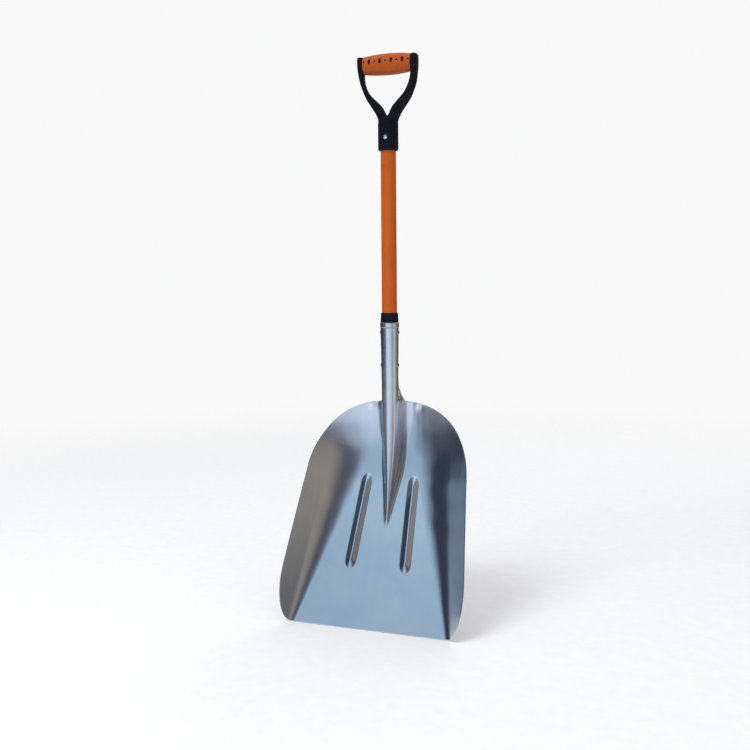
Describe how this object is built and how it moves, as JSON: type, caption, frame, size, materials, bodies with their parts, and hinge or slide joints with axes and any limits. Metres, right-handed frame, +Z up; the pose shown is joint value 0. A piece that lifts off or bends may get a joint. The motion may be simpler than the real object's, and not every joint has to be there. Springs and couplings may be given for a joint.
{
  "type": "snow shovel",
  "caption": "Scoop shovel with a stamped aluminium blade, flared side walls, pressed ribs, a riveted socket, a straight round shaft and a D-shaped hand grip.",
  "frame": {"origin": "middle of the underside of the grip bar, where the shovel hangs on a hook", "axes": "+Z up along the shaft, the scoop's hollow faces -Y, +X to the right seen from the front"},
  "size_m": [0.3887, 0.2088, 1.1625],
  "materials": {
    "blade_aluminium": "bright stamped sheet with fine brushing along the floor",
    "collar_plastic": "satin black moulded plastic",
    "shaft_orange": "satin orange coating with a faint lengthwise grain",
    "plug_wood": "bare turned softwood",
    "grip_black": "satin black moulded plastic with fine texture",
    "grip_orange": "soft-touch orange moulding, duller than the shaft",
    "rivet_metal": "plain domed rivet heads"
  },
  "bodies": {
    "root": {"blade": "blade_aluminium", "collar": "collar_plastic", "shaft": "shaft_orange", "shaft_core_plug": "plug_wood", "grip_frame": "grip_black", "grip_sleeve": "grip_orange", "grip_rivet": "rivet_metal", "socket_rivet_upper": "rivet_metal", "socket_rivet_lower": "rivet_metal"}
  },
  "joints": []
}
